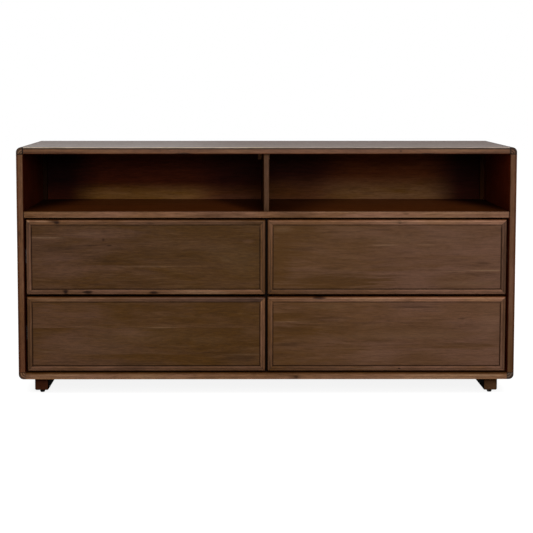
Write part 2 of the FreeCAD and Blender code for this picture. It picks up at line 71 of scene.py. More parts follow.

# Figure in the wood that stands out, by node, as seen from the front. Each mark is
# (kind, from x, to x, z, half height, strength), in millimetres, and placed one by one.
# Along the front edges of boards and mouldings many pale marks are painted highlights; the rest are
# figure, knots and tone.
FIGURE = {
    "upper_left_front_panel": [
        ("rose", -740, -560, 402, 26, 0.5), ("rose", -640, -420, 522, 18, 0.6),
        ("rose", -740, -595, 440, 9, 0.6), ("dark", -740, -600, 473, 14, 0.25),
        ("ochre", -755, -650, 534, 16, 0.25), ("pale", -760, -640, 509.5, 4, 0.75),
        ("pale", -640, -520, 522, 5, 0.25), ("pale", -500, -246, 416, 2.6, 0.35),
        ("dark", -545, -466, 432, 5, 0.35), ("dark", -512, -495, 484, 2, 0.8),
        ("dark", -528, -520, 503, 5, 0.6), ("dark", -590, -545, 485, 2.2, 0.5),
        ("dark", -580, -505, 358, 4, 0.4), ("rose", -80, -38, 497, 6, 0.5),
        ("pale", -150, -120, 440, 12, 0.15), ("ochre", -490, -300, 366, 20, 0.7),
        ("dark", -480, -320, 364, 14, 0.2), ("ochre", -330, -60, 525, 26, 0.7),
        ("pale", -210, -30, 462, 30, 0.12), ("pale", -140, -5, 420, 44, 0.12),
    ],
    "upper_right_front_panel": [
        ("ochre", 10, 80, 450, 110, 0.7), ("ochre", 60, 400, 366, 28, 0.8),
        ("dark", 45, 190, 471, 6, 0.35), ("pale", 331, 428, 485, 2.4, 0.5),
        ("pale", 479, 545, 486, 2.2, 0.4), ("dark", 560, 640, 434, 3, 0.4),
        ("dark", 670, 725, 426, 4, 0.5), ("dark", 600, 760, 418, 8, 0.2),
        ("pale", 640, 765, 403, 3.6, 0.8), ("pale", 560, 650, 400, 2, 0.3),
        ("dark", 520, 560, 404, 2, 0.3), ("dark", 610, 760, 390, 5, 0.25),
        ("dark", 70, 400, 378, 30, 0.18), ("pale", 380, 700, 500, 40, 0.08),
        ("pale", 540, 740, 360, 9, 0.25), ("pale", 20, 90, 536, 10, 0.25),
        ("pale", 320, 480, 502, 14, 0.12), ("rose", 390, 700, 432, 12, 0.4),
        ("dark", 100, 260, 400, 12, 0.12),
    ],
    "lower_left_front_panel": [
        ("rose", -740, -500, 270, 30, 0.5), ("rose", -490, -380, 200, 14, 0.6),
        ("rose", -740, -560, 175, 26, 0.5), ("pale", -407, -288, 218, 2.4, 0.45),
        ("pale", -632, -450, 220, 2, 0.25), ("dark", -632, -432, 233, 1.8, 0.4),
        ("pale", -745, -675, 139, 3, 0.3), ("dark", -487, -326, 99, 5, 0.45),
        ("dark", -142, -15, 116, 9, 0.4), ("pale", -133, -10, 129.5, 2.6, 0.5),
        ("dark", -204, -142, 136, 2.2, 0.45), ("ochre", -300, -120, 190, 30, 0.5),
        ("pale", -570, -210, 190, 26, 0.12), ("ochre", -490, -330, 122, 14, 0.7),
        ("ochre", -200, -30, 150, 24, 0.6), ("dark", -200, -40, 128, 14, 0.15),
        ("ochre", -680, -560, 276, 14, 0.5), ("ochre", -420, -280, 280, 14, 0.6),
        ("dark", -400, -290, 282, 12, 0.15), ("pale", -700, -450, 155, 34, 0.1),
        ("pale", -250, -110, 178, 16, 0.12), ("dark", -740, -340, 106, 8, 0.15),
        ("dark", -150, -20, 118, 20, 0.15),
    ],
    "lower_right_front_panel": [
        ("ochre", 15, 190, 208, 20, 0.8), ("ochre", 15, 130, 256, 10, 0.6),
        ("pale", 20, 154, 237, 3.0, 0.5), ("dark", 80, 200, 246, 2, 0.4),
        ("dark", 100, 210, 226, 2.2, 0.35), ("dark", 15, 125, 163, 7, 0.45),
        ("dark", 373, 605, 284, 3, 0.4), ("dark", 120, 230, 291, 2, 0.35),
        ("dark", 620, 642, 246, 4, 0.4), ("dark", 600, 680, 226, 3, 0.25),
        ("dark", 544, 762, 163, 5, 0.3), ("ochre", 544, 762, 158, 12, 0.4),
        ("pale", 230, 300, 149, 2, 0.3), ("ochre", 15, 240, 262, 34, 0.6),
        ("dark", 20, 230, 262, 32, 0.18), ("pale", 270, 660, 198, 14, 0.15),
        ("ochre", 190, 330, 150, 26, 0.4), ("dark", 380, 560, 286, 8, 0.3),
        ("dark", 130, 290, 245, 8, 0.3), ("dark", 20, 130, 215, 14, 0.2),
        ("pale", 130, 260, 286, 9, 0.2), ("pale", 130, 740, 187, 9, 0.12),
        ("pale", 680, 765, 235, 50, 0.12),
    ],
    # In the mouldings, the pale marks are painted highlights and glints.
    "upper_left_front_moulding": [
        ("knot", -682, -662, 560, 7, 1), ("dark", -706, -668, 563, 4, 0.9),
        ("knot", -655, -636, 333, 9, 1), ("knot", -590, -558, 333, 6, 1),
        ("knot", -380, -346, 333, 6, 1), ("dark", -380, -360, 556, 3, 0.5),
        ("pale", -768, -759, 563, 5, 1),
        ("pale", -330, -110, 333, 9, 0.6), ("pale", -745, -690, 562, 3, 0.6),
    ],
    "upper_right_front_moulding": [
        ("knot", 422, 433, 559, 6, 0.8), ("dark", 405, 455, 558, 6, 0.5),
        ("pale", 330, 740, 561, 5, 0.3),
    ],
    "lower_right_front_moulding": [
        ("knot", 150, 192, 316, 5, 0.9), ("pale", 238, 431, 84, 2, 0.5),
        ("knot", 425, 433, 84, 3, 0.9), ("pale", 250, 430, 310, 6, 0.4),
        ("pale", 640, 740, 310, 6, 0.3),
    ],
    "lower_left_front_moulding": [
        ("dark", -530, -350, 86, 8, 0.4), ("pale", -745, -560, 308, 3, 0.4),
        ("dark", -60, -20, 300, 9, 0.3),
    ],
    # Most pale marks on the bottom board are painted highlights along its front edge.
    "bottom_panel": [
        ("knot", 89, 103, 57, 4, 0.8), ("dark", 72, 110, 57, 7, 0.5),
        ("pale", -470, -330, 60, 9, 0.3), ("pale", 340, 700, 54, 3, 0.5),
        ("pale", 420, 740, 62, 5, 0.5), ("dark", -790, -755, 60, 9, 0.4),
        ("pale", -750, -560, 64, 3, 0.45), ("dark", -30, 140, 60, 10, 0.1),
        ("pale", 640, 700, 63, 2.5, 0.5), ("pale", 700, 775, 62, 2.5, 0.7),
        ("ochre", 640, 720, 70, 3, 0.6), ("ochre", -765, -710, 69, 4, 0.7),
    ],
    # On the top's front edge, most pale marks are painted highlights.
    "top_panel": [
        ("dark", -290, -235, 781, 3, 0.9), ("knot", 424, 433, 788, 3, 0.6),
        ("dark", 480, 545, 781, 3, 0.8), ("pale", -670, -440, 789, 5, 0.3),
        ("pale", -150, -40, 788, 6, 0.3), ("pale", 470, 690, 789, 5, 0.3),
        ("dark", -360, -150, 788, 8, 0.15), ("pale", -570, -440, 785, 8, 0.15),
        ("dark", 600, 790, 782, 4.5, 0.55), ("dark", -790, -590, 782, 4.5, 0.45),
        ("pale", -775, -590, 791, 4, 0.45), ("pale", 440, 785, 791, 4, 0.4),
    ],
    # On the shelf's front edge, the pale marks near its top arris are painted highlights.
    "shelf": [
        ("dark", 435, 460, 587, 4, 0.5), ("dark", 520, 560, 586, 2, 0.4),
        ("pale", 80, 400, 592, 2, 0.4), ("pale", -700, -560, 576, 2, 0.3),
        ("dark", -300, -60, 580, 2, 0.3), ("dark", -776, -740, 577, 5, 0.4),
        ("dark", -776, -560, 583, 11, 0.22), ("dark", -270, 20, 583, 13, 0.35),
        ("dark", 0, 180, 583, 14, 0.5), ("pale", 250, 770, 576, 2.5, 0.3),
        ("dark", 640, 778, 583, 12, 0.2),
        ("dark", -280, -60, 583, 12, 0.1), ("dark", -690, -580, 583, 12, 0.1),
        ("pale", 430, 785, 589, 3.5, 0.4), ("pale", -780, -540, 589, 3, 0.2),
    ],
    "side_panel_left": [("dark", -798, -789, 523, 14, 0.6)],
}


# ---------------------------------------------------------------- node trees

class Tree:
    """Short calls for building one shader node tree."""

    def __init__(self, tree):
        self.tree = tree

    def node(self, kind, inputs=None, **settings):
        prefix = "Node" if kind in ("GroupInput", "GroupOutput") else "ShaderNode"
        made = self.tree.nodes.new(prefix + kind)
        for name, value in settings.items():
            setattr(made, name, value)
        for socket, value in (inputs or {}).items():
            self.put(made.inputs[socket], value)
        return made

    def put(self, socket, value):
        if isinstance(value, bpy.types.NodeSocket):
            self.tree.links.new(value, socket)
        else:
            socket.default_value = value

    def math(self, operation, *values):
        return self.node("Math", dict(enumerate(values)), operation=operation).outputs[0]

    def product(self, first, *others):
        for other in others:
            first = self.math("MULTIPLY", first, other)
        return first

    def vector(self, operation, *values):
        made = self.node("VectorMath", dict(enumerate(values)), operation=operation)
        return made.outputs["Value" if operation == "LENGTH" else "Vector"]

    def joined(self, x=0.0, y=0.0, z=0.0):
        return self.node("CombineXYZ", {0: x, 1: y, 2: z}).outputs[0]

    def parts(self, vector):
        return self.node("SeparateXYZ", {0: vector}).outputs

    def mix(self, factor, first, second, blend="MIX"):
        made = self.node("Mix", data_type="RGBA", blend_type=blend)
        self.put(made.inputs[0], factor)
        self.put(made.inputs[6], first)
        self.put(made.inputs[7], second)
        return made.outputs[2]

    def spread(self, value, low, high, to_low=0.0, to_high=1.0, kind="SMOOTHSTEP"):
        """Map low..high to to_low..to_high, held beyond both ends."""
        made = self.node("MapRange", {0: value, 1: low, 2: high, 3: to_low, 4: to_high},
                         interpolation_type=kind)
        return made.outputs[0]

    def noise(self, vector, scale, detail=2.0, roughness=0.5, distortion=0.0):
        stretched = self.vector("MULTIPLY", vector, scale)
        made = self.node("TexNoise", {"Vector": stretched, "Scale": 1.0, "Detail": detail,
                                      "Roughness": roughness, "Distortion": distortion})
        return made.outputs[0]


# ---------------------------------------------------------------- wood

def grain_group():
    """Wood grain as factors from 0 to 1. Place is in metres, with X along the fibres.

    Boards glued edge to edge differ by their number, Plank.
    """
    strip = 0.12                               # the rings' heart comes again at this width
    heart_line, heart_depth = 0.35, 0.30       # the noise at which it meets the face, and its reach
    ring_wave = 700.0                          # radians a metre, which is a ring every 9 mm
    group = bpy.data.node_groups.new("grain", "ShaderNodeTree")
    for name, kind in (("Place", "Vector"), ("Plank", "Float")):
        group.interface.new_socket(name=name, in_out="INPUT", socket_type="NodeSocket" + kind)
    for name in ("Tone", "Streak", "Ring", "Fibre", "Pore", "Board"):
        group.interface.new_socket(name=name, in_out="OUTPUT", socket_type="NodeSocketFloat")
    t = Tree(group)
    given = t.node("GroupInput").outputs
    chance = t.node("TexWhiteNoise", {"W": given["Plank"]}, noise_dimensions="1D")
    shift = t.vector("MULTIPLY", chance.outputs["Color"], (7.0, 2.0, 2.0))
    place = t.vector("ADD", given["Place"], shift)

    sway = t.math("SUBTRACT", t.noise(place, (2.6, 9.0, 9.0), detail=2.0), 0.5)
    swayed = t.vector("ADD", place, t.joined(0.0, t.product(sway, 0.035), t.product(sway, 0.035)))

    tone = t.noise(swayed, (3.2, 15.0, 15.0), detail=4.0, roughness=0.55, distortion=0.4)
    streak = t.noise(swayed, (9.0, 150.0, 150.0), detail=5.0, roughness=0.62, distortion=0.1)
    fibre = t.noise(swayed, (30.0, 330.0, 330.0), detail=5.0, roughness=0.75)
    pore = t.noise(place, (60.0, 1800.0, 1800.0), detail=1.0)

    # Rings around a heart that wanders behind the face, which gives arches in the figure.
    along, across, _ = t.parts(swayed)
    wander = t.noise(t.joined(along, chance.outputs["Value"]), (2.4, 5.0, 5.0), detail=2.0)
    near = t.math("SUBTRACT", t.math("MODULO", t.math("ABSOLUTE", across), strip), strip / 2)
    heart = t.joined(0.0, near, t.product(t.math("SUBTRACT", wander, heart_line), heart_depth))
    ring = t.math("SINE", t.product(t.vector("LENGTH", heart), ring_wave))

    outputs = t.node("GroupOutput").inputs
    t.put(outputs["Tone"], t.spread(tone, 0.32, 0.68))
    t.put(outputs["Streak"], t.spread(streak, 0.30, 0.70))
    t.put(outputs["Ring"], t.spread(ring, -1.0, 1.0, kind="LINEAR"))
    t.put(outputs["Fibre"], t.spread(fibre, 0.35, 0.65))
    t.put(outputs["Pore"], t.spread(pore, 0.62, 0.70))
    t.put(outputs["Board"], chance.outputs["Value"])
    return group


GRAIN = grain_group()
AXIS = {"X": 0, "Y": 1, "Z": 2}
MARK_COLOURS = {"ochre": OCHRE, "rose": ROSE, "dark": DARK, "pale": PALE, "knot": KNOT_AND_SHADE}


def dress(node, material):
    """Give a CAD node its finish."""
    for slot in frame["nodes"][node].material_slots:
        slot.material = material


def marked(t, colour, place, streak, marks):
    """The colour with the listed marks near the front plane, ragged along the streaks."""
    depth = 40 * MM
    fray = 0.7                                 # how far the streaks move a mark's edge
    for kind, left, right, z, half, strength in marks:
        centre = ((left + right) / 2 * MM, FRONT, z * MM)
        sizes = ((right - left) / 2 * MM, depth, half * MM)
        away = t.vector("LENGTH", t.vector("DIVIDE", t.vector("SUBTRACT", place, centre), sizes))
        ragged = t.math("ADD", away, t.product(streak, fray))
        colour = t.mix(t.spread(ragged, 1 + fray, fray, 0.0, strength), colour, MARK_COLOURS[kind])
    return colour


def wood(node, grain, face, seed, plank=1.0, glue=0.0, rosy=(0.5, 0.5), gain=1.0, edge=WHITE,
         roughness=0.45, gloss=0.1, contrast=0.2, shades=(), polish=None, mitred=False):
    """Give a node the finish of a stained board.

    grain is the axis along the fibres, and face the one that its broad side looks along.
    seed sets its grain apart from that of other nodes. plank is the width of the glued
    boards, and glue the place of one seam between them. rosy is the tone at the node's left
    and right ends, from ochre at 0 to rose at 1. gain is the level of its colour. edge is a
    colour factor for the front edge, and each of the shades makes another from the tree and
    the place. contrast is how much the fibres differ, and polish makes what the roughness is
    lowered by. In a mitred frame the grain turns with the frame's four lengths.
    """
    seed_step = 17.0                           # more than any node has boards
    drift = 0.32                               # how far the broad tone goes towards ochre or rose
    low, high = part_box(node)
    material = bpy.data.materials.new(node + "_wood")
    material.use_nodes = True
    t = Tree(material.node_tree)
    shader = material.node_tree.nodes["Principled BSDF"]
    place = t.node("TexCoord").outputs["Object"]
    parts = t.parts(place)
    across = ({"X", "Y", "Z"} - {grain, face}).pop()
    turned = t.joined(parts[AXIS[grain]], parts[AXIS[across]], parts[AXIS[face]])
    if mitred:
        upright = t.joined(parts[AXIS[across]], parts[AXIS[grain]], parts[AXIS[face]])
        turned = t.mix(frame_distances(t, place, node)[2], turned, upright)
    number = t.math("FLOOR", t.math("DIVIDE", t.math("SUBTRACT", parts[AXIS[across]], glue), plank))
    made = t.node("Group")
    made.node_tree = GRAIN
    t.put(made.inputs["Place"], turned)
    t.put(made.inputs["Plank"], t.math("ADD", number, seed * seed_step))
    tone, streak, ring, fibre, pore, board = made.outputs

    middle = t.spread(parts[0], low.x, high.x, rosy[0], rosy[1], kind="LINEAR")
    blush = t.math("ADD", middle, t.spread(tone, 0.0, 1.0, -drift, drift, kind="LINEAR"))
    colour = t.mix(t.spread(blush, 0.0, 1.0, kind="LINEAR"), OCHRE, ROSE)
    colour = t.mix(t.spread(streak, 0.45, 0.0, 0.0, 0.25), colour, DARK)
    colour = t.mix(t.spread(streak, 0.60, 1.0, 0.0, 0.12), colour, PALE)
    colour = t.mix(t.spread(ring, 0.50, 1.0, 0.0, 0.05), colour, DARK)
    colour = marked(t, colour, place, streak, FIGURE.get(node, ()))

    level = t.product(t.spread(fibre, 0.0, 1.0, 1 - contrast, 1 + contrast, kind="LINEAR"),
                      t.spread(board, 0.0, 1.0, 0.93, 1.07, kind="LINEAR"),
                      t.spread(pore, 0.0, 1.0, 1.0, 0.72), gain)
    front = t.mix(t.spread(parts[1], FRONT + 6 * MM, FRONT + 1 * MM), WHITE, edge)
    for factor in [level, front] + [shade(t, place) for shade in shades]:
        colour = t.mix(1.0, colour, factor, "MULTIPLY")
    t.put(shader.inputs["Base Color"], colour)
    rough = t.spread(fibre, 0.0, 1.0, roughness + 0.05, roughness - 0.05)
    if polish:
        rough = t.math("SUBTRACT", rough, polish(t, place))
    t.put(shader.inputs["Roughness"], rough)
    shader.inputs["Specular IOR Level"].default_value = gloss
    relief = t.math("SUBTRACT", t.product(fibre, 0.4), pore)
    bump = t.node("Bump", {"Strength": 0.3, "Distance": 0.00015, "Height": relief})
    t.put(shader.inputs["Normal"], bump.outputs[0])
    dress(node, material)


def line(t, value, at, half, depth):
    """A dark line where value is near 'at': a factor from 1 down to depth."""
    away = t.math("ABSOLUTE", t.math("SUBTRACT", value, at))
    return t.spread(away, half * 0.4, half, depth, 1.0)


def post_joints(depth):
    """Stain where a board or post meets its neighbour at the case's corners, least at the bottom."""
    half = 2.6 * MM
    depth_below = depth * 1.6

    def shade(t, place):
        x, _, z = t.parts(place)
        sides = line(t, t.math("ABSOLUTE", x), INNER_X, half, depth)
        above = line(t, z, CEILING, half, depth)
        below = line(t, z, FLOOR_TOP, half, depth_below)
        return t.math("MINIMUM", sides, t.math("MINIMUM", above, below))
    return shade


def end_grain(side, level, depth):
    """A post's front end: arcs around its inner corner, and dark joints and rim."""
    arc_wave = 900.0                           # radians a metre, which is an arc every 7 mm
    bend_reach = 3.0                           # how far the noise bends the arcs, in radians

    def shade(t, place):
        x, y, z = t.parts(place)
        inner = t.joined(t.math("SUBTRACT", x, side * INNER_X), 0.0, t.math("SUBTRACT", z, level))
        reach = t.vector("LENGTH", inner)
        bend = t.noise(place, (90.0, 20.0, 90.0), detail=2.0)
        wave = t.math("ADD", t.product(reach, arc_wave), t.product(bend, bend_reach))
        arcs = t.spread(t.math("SINE", wave), -1.0, 1.0, 0.45, 1.6)
        rim = t.spread(reach, 17.5 * MM, 20 * MM, 1.0, 0.4)
        joints = t.math("MINIMUM", line(t, x, side * INNER_X, 3.6 * MM, depth),
                        line(t, z, level, 3 * MM, depth))
        at_front = t.spread(y, FRONT + 4 * MM, FRONT + 2 * MM)
        shown = t.product(arcs, rim, joints)
        return t.math("ADD", t.product(shown, at_front), t.math("SUBTRACT", 1.0, at_front))
    return shade


def end_joints(t, place):
    """Dark joints at both ends of the shelf."""
    return line(t, t.math("ABSOLUTE", t.parts(place)[0]), INNER_X, 3 * MM, 0.3)


def arris_highlight(t, place):
    """The top's eased front edge with a painted highlight, brighter at the left, and a line of painted
    shade below it.
    """
    x, y, z = t.parts(place)
    near = t.spread(y, FRONT + 14 * MM, FRONT + 6 * MM)
    highlit = t.product(near, t.spread(z, HIGH.z - 3 * MM, HIGH.z - 1.5 * MM))
    pale = t.mix(t.spread(x, -0.1, 0.1), (4.5, 8.9, 16.0, 1), (3.0, 5.7, 10.0, 1))
    below = line(t, z, HIGH.z - 4.6 * MM, 2.6 * MM, 0.15)
    painted_shade = t.math("MAXIMUM", below, t.math("SUBTRACT", 1.0, near))
    return t.mix(1.0, t.mix(highlit, WHITE, pale), painted_shade, "MULTIPLY")


def by_bay(t, x, left=0.0, right=1.0):
    """One value in the open compartment's left bay, and another in its right one."""
    half = 0.01
    return t.spread(x, -half, half, left, right)


def shadowed(ends, middle, reach):
    """Painted shade toward the outer ends and the divider of the open compartment, as colour factors.

    reach is how far the second one reaches from the divider, to the left and to the right.
    The front edge has neither.
    """
    lean = 0.32                                # both reach further with the depth
    outer_start, outer_end = 0.69, 0.84        # from the middle of the case, at the front

    def shade(t, place):
        x, y, _ = t.parts(place)
        aside = t.math("ABSOLUTE", x)
        deep = t.product(t.math("SUBTRACT", y, FRONT), lean)
        outer = t.spread(t.math("ADD", aside, deep), outer_start, outer_end)
        width = by_bay(t, x, *reach)
        inner = t.spread(t.math("SUBTRACT", aside, deep), 0.0, width, 1.0, 0.0)
        within = t.spread(y, FRONT + 4 * MM, FRONT + 10 * MM)
        outer, inner = t.product(outer, within), t.product(inner, within)
        return t.mix(1.0, t.mix(outer, WHITE, ends), t.mix(inner, WHITE, middle), "MULTIPLY")
    return shade


def back_painted_light(t, place):
    """The back panel: painted light low in the open compartment, and painted shade, darker and redder,
    upward and toward its ends and the divider; plain elsewhere.
    """
    x, y, z = t.parts(place)
    from_divider = t.math("ABSOLUTE", x)
    near_left, near_right = t.spread(from_divider, 0.28, 0.12), t.spread(from_divider, 0.32, 0.17)
    up_left, up_right = t.spread(z, 0.610, 0.660), t.spread(z, 0.615, 0.690)
    left = t.mix(up_left,
                 t.mix(near_left, (1.15, 1.15, 0.85, 1), (0.80, 0.62, 0.50, 1)),
                 t.mix(near_left, (0.42, 0.15, 0.05, 1), (0.33, 0.11, 0.04, 1)))
    right = t.mix(up_right,
                  t.mix(near_right, (1.0, 1.0, 0.85, 1), (0.82, 0.70, 0.60, 1)),
                  t.mix(near_right, (0.64, 0.32, 0.12, 1), (0.32, 0.12, 0.04, 1)))
    ends = shadowed((0.16, 0.05, 0.03, 1), (0.7, 0.6, 0.6, 1), (0.14, 0.14))(t, place)
    tint = t.mix(1.0, t.mix(by_bay(t, x), left, right), ends, "MULTIPLY")
    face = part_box("back_panel")[0].y
    shelf_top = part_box("shelf")[1].z
    shown = t.product(t.math("LESS_THAN", y, face + 1 * MM),
                      t.math("GREATER_THAN", z, shelf_top - 1 * MM))
    return t.mix(shown, (0.4, 0.4, 0.4, 1), tint)


def side_front_darkening(inner, foot):
    """Darker lines on a side panel's front, beside the outer arris and at the inner edge, and a
    colour factor low down toward the foot.

    inner is how dark the inner edge gets, and foot the colour factor low down.
    """
    foot_start = 0.33                          # the height below which the foot's factor comes in

    def shade(t, place):
        x, y, z = t.parts(place)
        aside = t.math("ABSOLUTE", x)
        front = t.spread(y, FRONT + 6 * MM, FRONT + 3 * MM)
        groove = t.math("SUBTRACT", 1.0, line(t, aside, HIGH.x - 4.5 * MM, 3.2 * MM, 0.0))
        rim = t.spread(aside, INNER_X + 5 * MM, INNER_X + 2 * MM, 0.0, inner)
        colour = t.mix(t.product(front, groove), WHITE, (0.60, 0.42, 0.28, 1))
        colour = t.mix(t.product(front, rim), colour, (0.5, 0.3, 0.2, 1))
        lowest = t.mix(t.product(front, t.spread(z, foot_start, FLOOR_TOP)), WHITE, foot)
        return t.mix(1.0, colour, lowest, "MULTIPLY")
    return shade


def inside(t, place):
    """Painted shade, darker and redder, on a node that only the inside of the case shows."""
    return INSIDE_SHADE


def past(axis, start, end, tint, mirror=False):
    """A colour factor that comes in from start to end along an axis, or along both its halves."""
    def shade(t, place):
        value = t.parts(place)[AXIS[axis]]
        if mirror:
            value = t.math("ABSOLUTE", value)
        return t.mix(t.spread(value, start, end), WHITE, tint)
    return shade


def left_only(tint):
    """A colour factor for what lies in the case's left half."""
    return past("X", 0.0, -0.1, tint)


def frame_distances(t, place, node):
    """How far a place lies from a frame's sides and from its ends, and 1 in its stiles."""
    low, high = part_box(node)
    centre, size = (low + high) / 2, (high - low) / 2
    x, _, z = t.parts(t.vector("SUBTRACT", place, centre))
    to_side = t.math("SUBTRACT", size.x, t.math("ABSOLUTE", x))
    to_end = t.math("SUBTRACT", size.z, t.math("ABSOLUTE", z))
    return to_side, to_end, t.math("LESS_THAN", to_side, to_end)


def moulding_tone_and_light(node, top, bottom, left, right):
    """Levels of the four mitred lengths of a moulding, partly tone and partly painted sheen,
    with painted light and shade along its profile and dark mitre lines.

    Each length has two levels: a rail's left and right, and a stile's lower and upper one.
    The top rail has a painted highlight along its outer half and painted shade along its inner half.
    """
    low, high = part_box(node)
    centre = (low + high) / 2

    def shade(t, place):
        x, _, z = t.parts(place)
        to_side, to_end, upright = frame_distances(t, place, node)
        rails = [t.spread(x, low.x, high.x, *pair, kind="LINEAR") for pair in (bottom, top)]
        stiles = [t.spread(z, low.z, high.z, *pair, kind="LINEAR") for pair in (left, right)]
        level = t.mix(upright, t.mix(t.math("GREATER_THAN", z, centre.z), *rails),
                      t.mix(t.math("GREATER_THAN", x, centre.x), *stiles))
        inward = t.math("MINIMUM", to_side, to_end)
        # Painted shade at the outer rim and in the valley, and a painted highlight along the bead.
        rim = t.mix(t.spread(inward, 0.4 * MM, 2.2 * MM), (0.50, 0.34, 0.18, 1), WHITE)
        from_bead = t.math("ABSOLUTE", t.math("SUBTRACT", inward, 11.5 * MM))
        bead = t.spread(from_bead, 0.0, 2.2 * MM, 1.2, 1.0)
        valley = line(t, inward, 8 * MM, 3 * MM, 0.72)
        mitre = line(t, to_side, to_end, 1.5 * MM, 0.55)
        # Light from above on the top rail: a painted highlight on its outer half, painted shade on its
        # inner half.
        top_rail = t.product(t.math("SUBTRACT", 1.0, upright), t.math("GREATER_THAN", z, centre.z))
        lit_from_above = t.spread(inward, 6 * MM, 14 * MM, 1.12, 0.62)
        outward = t.spread(top_rail, 0.0, 1.0, 1.0, lit_from_above, kind="LINEAR")
        return t.mix(1.0, rim, t.product(level, bead, valley, mitre, outward), "MULTIPLY")
    return shade


def rubbed_top(t, place):
    """Polish of the top, brighter toward its left and front."""
    x, y, _ = t.parts(place)
    left = t.spread(x, -0.05, -0.35, -0.02, 0.05)
    front = t.spread(y, 0.1, FRONT, 0.0, 0.05)
    return t.math("ADD", left, front)


def quirk_painted_shade(node):
    """Painted shade in the groove along the inside of a drawer front's moulding, faint at its top,
    where light from above falls in.
    """
    inset, half, painted_shade = 7.0 * MM, 2.6 * MM, (0.26, 0.21, 0.15, 1)
    low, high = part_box(node)
    centre, size = (low + high) / 2, (high - low) / 2

    def shade(t, place):
        x, _, z = t.parts(t.vector("SUBTRACT", place, centre))
        sides = t.math("SUBTRACT", t.math("ABSOLUTE", x), size.x - inset)
        ends = t.math("SUBTRACT", t.math("ABSOLUTE", z), size.z - inset)
        clean = line(t, t.math("MAXIMUM", sides, ends), 0.0, half, 0.0)
        at_top = t.spread(z, size.z - inset - 12 * MM, size.z - inset - 4 * MM, 0.0, 0.7)
        return t.mix(t.math("MAXIMUM", clean, at_top), painted_shade, WHITE)
    return shade


def plain(name, colour, roughness, metallic=0.0, gloss=0.5):
    """Metal or plastic with slight variation of tone and a fine surface."""
    coarse, fine = 35.0, 900.0                 # scales of the noise, per metre
    material = bpy.data.materials.new(name)
    material.use_nodes = True
    t = Tree(material.node_tree)
    shader = material.node_tree.nodes["Principled BSDF"]
    place = t.node("TexCoord").outputs["Object"]
    broad = t.noise(place, (coarse, coarse, coarse), detail=3.0)
    small = t.noise(place, (fine, fine, fine), detail=2.0)
    darker = tuple(channel * 0.75 for channel in colour[:3]) + (1,)
    t.put(shader.inputs["Base Color"], t.mix(t.spread(broad, 0.35, 0.65), darker, colour))
    t.put(shader.inputs["Roughness"], t.spread(small, 0.3, 0.7, roughness * 0.85, roughness * 1.15))
    shader.inputs["Metallic"].default_value = metallic
    shader.inputs["Specular IOR Level"].default_value = gloss
    bump = t.node("Bump", {"Strength": 0.4, "Distance": 0.00005, "Height": small})
    t.put(shader.inputs["Normal"], bump.outputs[0])
    return material


# ---------------------------------------------------------------- finishes

def dress_case():
    """Give the boards, posts, battens, blocks and runners of the case their wood."""
    corner = post_joints(0.25)
    wood("top_panel", "X", "Z", 1, plank=BOARD, rosy=(0.75, 0.9), edge=(1.35, 1.15, 0.9, 1),
         gloss=0.2, roughness=0.48, polish=rubbed_top,
         shades=[corner, past("Z", CEILING + 5 * MM, CEILING + 1 * MM, INSIDE_SHADE), arris_highlight])
    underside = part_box("bottom_panel")[0].z
    # A darker olive line along the top arris, and a painted highlight along the lower arris.
    wood("bottom_panel", "X", "Z", 2, plank=BOARD, rosy=(0.65, 0.95), edge=(2.2, 2.3, 2.25, 1),
         shades=[post_joints(0.7),
                 past("Z", FLOOR_TOP - 8 * MM, FLOOR_TOP - 1.5 * MM, (0.42, 0.31, 0.10, 1)),
                 past("Z", underside + 5 * MM, underside + 2 * MM, (1.3, 1.3, 1.2, 1))])
    # Painted shade on the shelf: a redder tone on its top and underside, and darker toward the
    # compartment's ends and the divider.
    wood("shelf", "X", "Z", 3, plank=INNER_BOARD, rosy=(0.5, 0.95), edge=(2.0, 2.05, 2.05, 1),
         gloss=0.04,
         shades=[end_joints, past("Y", FRONT + 5 * MM, FRONT + 8 * MM, (1.35, 0.72, 0.25, 1)),
                 shadowed((0.10, 0.08, 0.08, 1), (0.33, 0.30, 0.30, 1), (0.08, 0.2))])
    wood("shelf_divider", "Z", "X", 4, plank=INNER_BOARD, gloss=0.05, gain=0.9,
         shades=[past("Y", FRONT + 21 * MM, FRONT + 26 * MM, INSIDE_SHADE)])
    # Painted shade: the partition's front part is nearly black, so the gaps between the drawer fronts
    # read dark.
    wood("drawer_partition", "Z", "X", 5, plank=INNER_BOARD, gloss=0.05,
         shades=[past("Y", FRONT + 60 * MM, FRONT + 40 * MM, (0.05, 0.05, 0.05, 1))])
    wood("back_panel", "X", "Y", 8, plank=BACK_BOARD, rosy=(0.15, 0.3), gain=2.0, gloss=0.03,
         shades=[back_painted_light])
    # The battens take the inside's painted shade, and the left ones are darker still: painted shade at
    # the open compartment's left end.
    wood("back_battens", "Z", "Y", 13, gain=0.5, gloss=0.02,
         shades=[inside, left_only((0.3, 0.3, 0.3, 1))])
    wood("divider_blocks", "Z", "Y", 14, gain=4.5, gloss=0.02)
    dress_sides(corner)
    dress_posts()
    dress_feet()


